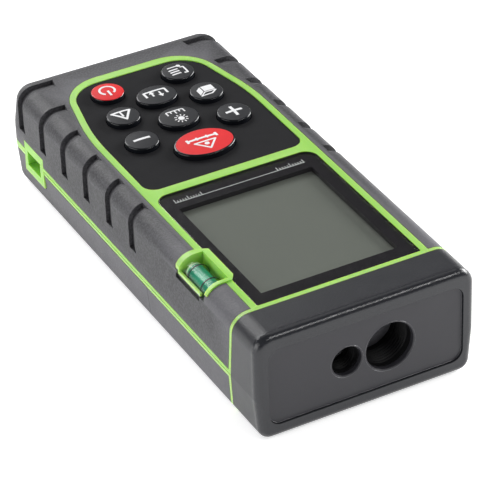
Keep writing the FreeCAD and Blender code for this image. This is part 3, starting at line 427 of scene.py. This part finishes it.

# the liquid glows faintly in its own tint, a painted glow
liquid = Finish("liquid", (0.005, 0.20, 0.13), 0.30, Specular_IOR_Level=0.4, Emission_Strength=0.14)
liquid_low, liquid_high = (corner.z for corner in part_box("vial_liquid"))
# the upper side of the liquid is painted lighter, a painted highlight
lit = liquid.axis("Z").between(liquid_low + 0.001, liquid_high + 0.0003)
tint = liquid.blend(lit + 0.15 * liquid.noise(0.0012) - 0.05, (0.000, 0.15, 0.085), (0.01, 0.30, 0.20))
liquid.set("Base Color", tint)
liquid.set("Emission Color", tint)
liquid.set("Roughness", 0.27 + 0.06 * liquid.noise(0.001))
liquid.put_on("vial_liquid")

# the bubble is painted pale, a painted highlight
bubble = Finish("bubble", (0.75, 0.95, 0.85), 0.05, Coat_Weight=0.6)
bubble.set("Base Color", bubble.blend(bubble.noise(0.001), (0.70, 0.93, 0.82), (0.82, 0.98, 0.90)))
bubble.set("Roughness", 0.05 + 0.08 * bubble.noise(0.0008))
bubble.put_on("vial_bubble")


def plain_finish(name, nodes, dark, pale, roughness, size, relief, **shader):
    """A finish with mottled colour, uneven gloss and a shallow texture, all at about one size."""
    made = Finish(name, dark, roughness, **shader)
    spots = made.noise(size, 3.0)
    made.set("Base Color", made.blend(spots, dark, pale))
    made.set("Roughness", roughness - 0.06 + 0.12 * made.noise(4 * size))
    made.bump(spots, relief, 0.5)
    made.put_on(*nodes)
    return made


plain_finish("ring_print", ["vial_rings"], (0.008, 0.010, 0.009), (0.015, 0.018, 0.016), 0.4, 0.0003, 5e-6)
plain_finish("plug_plastic", ["vial_plugs"], (0.55, 0.72, 0.48), (0.70, 0.85, 0.62), 0.4, 0.0005, 1e-5)

# %% [markdown]
# ## Optics and inner parts
# Only the mouths of the two barrels and the lenses behind them are seen. The barrels are matt black with a
# fine internal thread that stops stray light. The rest of the inside is finished too, for whoever opens
# the model: solder mask, plated steel, brass and printed cell sleeves.

# %% Finish the inner parts
plain_finish("barrel_metal", ["laser_barrel", "receiver_barrel"], (0.003, 0.003, 0.0035), (0.006, 0.006, 0.007),
             0.58, 0.0004, 2e-5, Specular_IOR_Level=0.3)
plain_finish("dark_plastic", ["light_tunnel", "optical_bench", "board_chips", "buzzer"],
             (0.012, 0.012, 0.013), (0.022, 0.022, 0.024), 0.5, 0.0005, 2e-5)
plain_finish("contact_rubber", ["key_mat", "lcd_connector_strip"], (0.20, 0.20, 0.21), (0.27, 0.27, 0.28),
             0.6, 0.0006, 2e-5)
plain_finish("diffuser", ["backlight_plate"], (0.66, 0.68, 0.65), (0.78, 0.80, 0.77), 0.5, 0.0006, 1e-5)
plain_finish("plated_steel", ["dome_switches", "photodiode", "contact_plates", "contact_springs", "case_screws",
                              "board_screws"], (0.42, 0.42, 0.42), (0.60, 0.60, 0.59), 0.28, 0.0008, 1e-5,
             Metallic=1.0)
plain_finish("brass", ["laser_module"], (0.52, 0.36, 0.13), (0.72, 0.53, 0.24), 0.3, 0.0006, 1e-5, Metallic=1.0)

# the lens is painted mid grey, a painted reflection of the surroundings, under a clear coat that reflects for
# real
glass = Finish("lens_glass", (0.20, 0.20, 0.22), 0.06, Specular_IOR_Level=0.7, Coat_Weight=1.0)
glass.set("Base Color", glass.blend(glass.noise(0.004), (0.16, 0.16, 0.18), (0.24, 0.24, 0.26)))
glass.set("Roughness", 0.05 + 0.06 * glass.noise(0.002))
glass.put_on("receiver_lens", "collimating_lens")

board = Finish("solder_mask", (0.014, 0.10, 0.035), 0.3, Coat_Weight=0.4)
tracks = board.node("ShaderNodeTexBrick", {"offset": 0.35},
                    {"Vector": board.place, "Scale": 260.0, "Mortar Size": 0.03}, "Fac")
board.set("Base Color", board.blend(tracks, (0.010, 0.085, 0.030), (0.035, 0.17, 0.070)))
board.set("Roughness", 0.24 + 0.12 * board.noise(0.002))
board.bump(tracks, 0.00003, 0.6)
board.put_on("main_board", "detector_board")

sleeve = Finish("cell_sleeve", (0.10, 0.12, 0.18), 0.3, Metallic=0.6)
band = sleeve.axis("Y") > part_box("battery_left")[1].y - 0.012
worn = sleeve.noise(0.003, 4.0)
sleeve.set("Base Color", sleeve.blend(band, sleeve.blend(worn, (0.05, 0.06, 0.09), (0.08, 0.09, 0.13)),
                                      sleeve.blend(worn, (0.55, 0.42, 0.20), (0.66, 0.52, 0.28))))
sleeve.set("Roughness", 0.24 + 0.14 * worn)
sleeve.bump(worn, 0.00001, 0.4)
sleeve.put_on("battery_left", "battery_right")

# %% Finish the floor
paper = Finish("floor_paper", (0.86, 0.86, 0.86), 0.8, Specular_IOR_Level=0.1)
paper.set("Base Color", paper.blend(paper.noise(0.02, 4.0), (0.85, 0.85, 0.85), (0.88, 0.88, 0.88)))
paper.set("Emission Color", (1.0, 1.0, 1.0, 1.0))
paper.set("Emission Strength", 0.6)
floor_mesh.materials.append(paper.material)
print("materials:", len(bpy.data.materials))

# %% [markdown]
# ## Printed marks
# Each key has a white mark printed on its slightly domed face, and the window's border has a fine scale.
# They could be drawn in the shader, but thin meshes stay crisp at any distance and can be lifted off
# and studied. A mark is drawn flat in millimetres as strokes and outlines, cut into small faces, laid
# onto the dome, and thickened by a few hundredths of a millimetre.

# %% Draw flat shapes
def stroke(start, end, width):
    """The four corners of a straight line with square ends."""
    start, end = Vector(start), Vector(end)
    side = (end - start).normalized().orthogonal() * width / 2
    return [start + side, end + side, end - side, start - side]


def path(points, width, closed=False):
    """Strokes through points, with a small round at each turn so that the corners fill."""
    shapes = []
    ends = list(points) + ([points[0]] if closed else [])
    for first, second in zip(ends, ends[1:]):
        shapes.append(stroke(first, second, width))
    for point in (ends if closed else ends[1:-1]):
        shapes.append(disc(point, width / 2, 10))
    return shapes


def disc(middle, radius, sides=24):
    """The corners of a filled circle."""
    return [Vector((middle[0] + radius * math.cos(2 * math.pi * step / sides),
                    middle[1] + radius * math.sin(2 * math.pi * step / sides))) for step in range(sides)]


def arc(middle, radius, start, end, steps=14):
    """Points along part of a circle, from start to end degrees."""
    turns = [math.radians(start + (end - start) * step / steps) for step in range(steps + 1)]
    return [(middle[0] + radius * math.cos(turn), middle[1] + radius * math.sin(turn)) for turn in turns]


# %% Lay shapes on a surface
PRINT_HIGH = 0.03 * MM
DOME_RISE = 0.3 * MM
LAYER_STEP = 0.0004
CUT_ROUNDS = 4


def printed(name, shapes, middle, height_at, body, material, cell=0.35):
    """Flat shapes in millimetres about middle, cut into cells, laid at height_at and thickened."""
    mesh = bmesh.new()
    for level, shape in enumerate(shapes):
        bmesh.ops.triangle_fill(mesh, edges=_outline(mesh, shape, LAYER_STEP * level), use_beauty=True)
    for _ in range(CUT_ROUNDS):
        long_edges = [edge for edge in mesh.edges if edge.calc_length() > cell]
        if not long_edges:
            break
        bmesh.ops.subdivide_edges(mesh, edges=long_edges, cuts=1)
        bmesh.ops.triangulate(mesh, faces=mesh.faces[:])
    bmesh.ops.recalc_face_normals(mesh, faces=mesh.faces[:])
    for face in mesh.faces:
        if face.normal.z < 0:
            face.normal_flip()
    for vertex in mesh.verts:
        lift = vertex.co.z
        place = Vector((middle[0] + vertex.co.x * MM, middle[1] + vertex.co.y * MM, 0))
        place.z = height_at(place) + lift * MM
        vertex.co = place
    data = bpy.data.meshes.new(name)
    mesh.to_mesh(data)
    mesh.free()
    piece = bpy.data.objects.new(name, data)
    bpy.context.scene.collection.objects.link(piece)
    thick = piece.modifiers.new("print", "SOLIDIFY")
    thick.thickness = PRINT_HIGH
    thick.offset = 1.0
    data.materials.append(material)
    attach(piece, body)
    return piece


def _outline(mesh, shape, lift):
    """The closed ring of edges round one flat shape."""
    corners = [mesh.verts.new((point[0], point[1], lift)) for point in shape]
    return [mesh.edges.new((corner, corners[(index + 1) % len(corners)]))
            for index, corner in enumerate(corners)]


def dome_of(key):
    """The height of a key's face under a point: a ball that drops by DOME_RISE at the key's edge."""
    middle, half = Vector((*KEYS[key], 0)), HALF[key]
    bend = half[0] ** 2 / (2 * DOME_RISE)

    def height(place):
        reach = (Vector((place.x, place.y, 0)) - middle).length
        return KEY_TOP - bend + math.sqrt(bend * bend - reach * reach)
    return height


ink = Finish("white_ink", (0.80, 0.80, 0.80), 0.45)
ink.set("Base Color", ink.blend(ink.noise(0.0008, 4.0), (0.72, 0.73, 0.74), (0.85, 0.85, 0.86)))
ink.set("Roughness", 0.40 + 0.15 * ink.noise(0.0005))
ink.bump(ink.noise(0.0003), 0.000006, 0.4)

# %% [markdown]
# The marks read the right way up for someone who holds the tool with the keypad towards them and the
# laser pointing away. In the model's axes that person looks along -Y, so their right is -X and their up
# is -Y, and each mark is drawn in their terms and turned by half a turn.

# %% Draw the nine marks
def held(shapes):
    """Turns shapes from the holder's right and up to the model's X and Y."""
    return [[Vector((-point[0], -point[1])) for point in shape] for shape in shapes]


def plus_mark():
    """Two crossed bars."""
    return [stroke((-1.95, 0), (1.95, 0), 0.68), stroke((0, -1.95), (0, 1.95), 0.68)]


def minus_mark():
    """One bar."""
    return [stroke((-1.95, 0), (1.95, 0), 0.68)]


def angle_mark():
    """A triangle with its height line: a length found from two others."""
    wedge = path([(-2.15, -1.45), (2.15, -1.45), (0, 1.9)], 0.52, closed=True)
    return wedge + [stroke((0.25, -1.3), (0.25, 0.75), 0.4)]


def volume_mark():
    """A box seen from a corner, with a solid side and an open top."""
    front = [Vector(point) for point in ((-1.9, -1.6), (0.7, -1.6), (0.7, 0.5), (-1.9, 0.5))]
    side = [Vector(point) for point in ((0.95, -1.6), (2.1, -0.6), (2.1, 1.5), (0.95, 0.5))]
    lid = path([(-1.9, 0.85), (-0.6, 1.85), (2.0, 1.85), (0.8, 0.85)], 0.32, closed=True)
    return [side, front] + lid


def reference_mark():
    """A bracket with two arrows in it: measured from one end or the other."""
    bracket = path([(-2.5, 0.5), (-2.5, -1.5), (2.5, -1.5), (2.5, 0.5)], 0.5)
    arrows = []
    for across, way in ((-0.85, 1), (0.95, -1)):
        arrows.append(stroke((across, -0.7 * way), (across, 0.9 * way), 0.42))
        arrows.append([Vector((across - 0.65, 0.5 * way)), Vector((across + 0.65, 0.5 * way)),
                       Vector((across, 1.5 * way))])
    return bracket + arrows


def unit_mark():
    """A small lamp with rays over a ruler of five ticks."""
    rays = [stroke((1.0 * math.cos(turn), 1.3 + 1.0 * math.sin(turn)), (1.55 * math.cos(turn),
                   1.3 + 1.55 * math.sin(turn)), 0.26)
            for turn in (math.tau * step / 10 for step in range(10))]
    ruler = [stroke((-2.0, -2.3), (2.0, -2.3), 0.32)]
    ruler += [stroke((across, -2.3), (across, -0.9 if step % 2 == 0 else -1.4), 0.3)
              for step, across in enumerate((-2.0, -1.0, 0.0, 1.0, 2.0))]
    return [disc((0, 1.3), 0.72)] + rays + ruler


def storage_mark():
    """Two rows of stored lines with an arrow that points into them."""
    rows = [stroke((-0.2, up), (2.0, up), 0.42) for up in (1.4, 0.5, -0.4)]
    bracket = path([(-0.9, 1.75), (-1.7, 1.75), (-1.7, -0.8), (-0.9, -0.8)], 0.4)
    return rows + bracket + [disc((-0.9, -1.6), 0.5), stroke((-0.5, -1.6), (1.8, -1.6), 0.36)]


def off_mark():
    """The usual power sign: a broken ring with a bar."""
    ring = path(arc((0, -0.2), 1.7, 125, 415, 26), 0.5)
    return ring + [stroke((0, 0.1), (0, 2.1), 0.52)]


def read_mark():
    """A target: a triangle over a bar, as a plain sign for taking a reading."""
    wedge = path([(-2.5, 0.2), (2.5, 0.2), (0, 3.1)], 0.42, closed=True)
    dot = [disc((0, 1.2), 0.55)]
    bars = [stroke((-3.4, -1.3), (3.4, -1.3), 0.6), stroke((-3.4, -2.0), (-3.4, -0.6), 0.55),
            stroke((3.4, -2.0), (3.4, -0.6), 0.55), stroke((-1.2, -1.9), (-1.2, -0.8), 0.4),
            stroke((1.2, -1.9), (1.2, -0.8), 0.4)]
    return wedge + dot + bars


MARKS = {"key_plus": plus_mark, "key_minus": minus_mark, "key_angle": angle_mark, "key_volume": volume_mark,
         "key_reference": reference_mark, "key_unit": unit_mark, "key_storage": storage_mark,
         "key_off": off_mark, "key_read": read_mark}
for key, draw in MARKS.items():
    mark = printed("mark_" + key[4:], held(draw()), KEYS[key], dome_of(key), key, ink.material)
    print(mark.name, len(mark.data.polygons), "faces")

# %% [markdown]
# ## The scale on the window's border
# The border beyond the display has a printed rule: a long line and groups of short ticks at its ends.
# It sits just over the black print, under the clear plate.

# %% Print the scale
mask_low, mask_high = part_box("window_mask")
RULE_Y = mask_high.y / MM - 3.3


def rule_shapes():
    """A long line with a group of ticks at each end, every fifth one longer."""
    shapes = [stroke((-15.4, 0), (15.4, 0), 0.14)]
    for side in (-1, 1):
        for step in range(11):
            long = 1.25 if step % 5 == 0 else 0.75
            across = side * (15.2 - 0.62 * step)
            shapes.append(stroke((across, 0), (across, long), 0.13))
    return shapes


rule = printed("window_rule", rule_shapes(), (0, RULE_Y * MM), lambda place: mask_high.z - 0.015 * MM, "casing",
               ink.material, cell=3.0)
print("rule", len(rule.data.polygons), "faces")

# %% [markdown]
# ## Threads in the barrels
# The inside of each barrel is threaded so that light which enters at an angle is caught between the ridges.
# A bump would vanish at the rim, where the eye looks along the wall, so a fine ridge is wound as a real
# helix with a triangular section.

# %% Wind the threads
def bore_thread(name, node, wall, first, last, pitch, depth, sides=56):
    """A helical ridge inside a barrel, from first to last metres behind its front."""
    low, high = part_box(node)
    middle = ((low.x + high.x) / 2, (low.z + high.z) / 2)
    radius = (high.x - low.x) / 2 - wall
    turns = (last - first) / pitch
    steps = int(turns * sides)
    points, faces = [], []
    for step in range(steps + 1):
        turn = math.tau * step / sides
        fade = min(1.0, step / sides, (steps - step) / sides)
        for reach, shift in ((0.00002, -0.45), (-depth * fade, 0.0), (0.00002, 0.45)):
            away = radius + reach
            points.append((middle[0] + away * math.cos(turn), low.y + first + pitch * (step / sides + shift),
                           middle[1] + away * math.sin(turn)))
    for step in range(steps):
        start = 3 * step
        for edge in range(3):
            after = (edge + 1) % 3
            faces.append((start + edge, start + after, start + after + 3, start + edge + 3))
    faces += [(2, 1, 0), (3 * steps, 3 * steps + 1, 3 * steps + 2)]
    data = bpy.data.meshes.new(name)
    data.from_pydata(points, [], faces)
    data.materials.append(NODES[node].data.materials[0])
    piece = bpy.data.objects.new(name, data)
    bpy.context.scene.collection.objects.link(piece)
    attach(piece, "casing")
    print(name, round(turns, 1), "turns")
    return piece


BARREL_WALL = 0.35 * MM
bore_thread("receiver_thread", "receiver_barrel", BARREL_WALL, 0.0009, 0.0062, 0.0007, 0.00022)
bore_thread("laser_thread", "laser_barrel", BARREL_WALL, 0.0008, 0.0042, 0.0006, 0.00018)

# %% [markdown]
# ## Fine rims on the front panel
# The edges of the panel and of both apertures shine as a hairline. The panel's own small rounding is dark from
# this side, and paint on a flat face doesn't catch light, so each rim is a thin bead with a triangular
# section that follows a closed outline. The bead is also coloured a paler grey than the panel, a painted
# highlight on top of the light that it catches.

# %% Lay the rims
# the rim beads are coloured paler grey than the panel, a painted highlight
pale_rim_highlight = Finish("rim_painted_highlight", (0.10, 0.10, 0.11), 0.26, Specular_IOR_Level=0.6)
pale_rim_highlight.set("Base Color", pale_rim_highlight.blend(pale_rim_highlight.noise(0.0008), (0.07, 0.07, 0.08), (0.15, 0.15, 0.16)))
pale_rim_highlight.set("Roughness", 0.22 + 0.12 * pale_rim_highlight.noise(0.0006))
pale_rim_highlight.bump(pale_rim_highlight.noise(0.0003), 0.00001, 0.4)
RIM_WIDE = 0.16 * MM
RIM_PROUD = 0.05 * MM
MOUTH_FILLET = 0.3
PANEL_ROUND = 2.54 * MM
RECEIVER_MOUTH = (5.45 + MOUTH_FILLET) * MM
LASER_MOUTH = (3.35 + MOUTH_FILLET) * MM


def rim(name, outline):
    """A bead on the panel's face along a closed outline of points in X and Z."""
    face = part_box("front_panel")[0].y
    points, faces = [], []
    for index, (across, up) in enumerate(outline):
        before, after = Vector(outline[index - 1]), Vector(outline[(index + 1) % len(outline)])
        side = (after - before).normalized().orthogonal() * RIM_WIDE / 2
        for reach, depth in ((-1, RIM_PROUD), (0, -RIM_PROUD), (1, RIM_PROUD)):
            points.append((across + side.x * reach, face + depth, up + side.y * reach))
        here, there = 3 * index, 3 * ((index + 1) % len(outline))
        for edge in range(3):
            follow = (edge + 1) % 3
            faces.append((here + edge, here + follow, there + follow, there + edge))
    data = bpy.data.meshes.new(name)
    data.from_pydata(points, [], faces)
    data.materials.append(pale_rim_highlight.material)
    piece = bpy.data.objects.new(name, data)
    bpy.context.scene.collection.objects.link(piece)
    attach(piece, "casing")
    print(name, len(outline), "points")


def round_box(low, high, radius, steps=8):
    """The outline of a box in X and Z with round corners."""
    outline = []
    for turn, (across, up) in enumerate(((high.x, high.z), (low.x, high.z), (low.x, low.z), (high.x, low.z))):
        middle = (across - math.copysign(radius, across), up - math.copysign(radius, up - (low.z + high.z) / 2))
        outline += arc(middle, radius, 90 * turn, 90 * turn + 90, steps)
    return outline


inset = Vector((RIM_WIDE, 0, RIM_WIDE)) / 2
panel_low, panel_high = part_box("front_panel")
rim("panel_rim", round_box(panel_low + inset, panel_high - inset, PANEL_ROUND))
MOUTHS = (("receiver_rim", "receiver_barrel", RECEIVER_MOUTH), ("laser_rim", "laser_barrel", LASER_MOUTH))
for name, node, radius in MOUTHS:
    low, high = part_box(node)
    rim(name, arc(((low.x + high.x) / 2, (low.z + high.z) / 2), radius + RIM_WIDE / 2, 0, 352.5, 47))
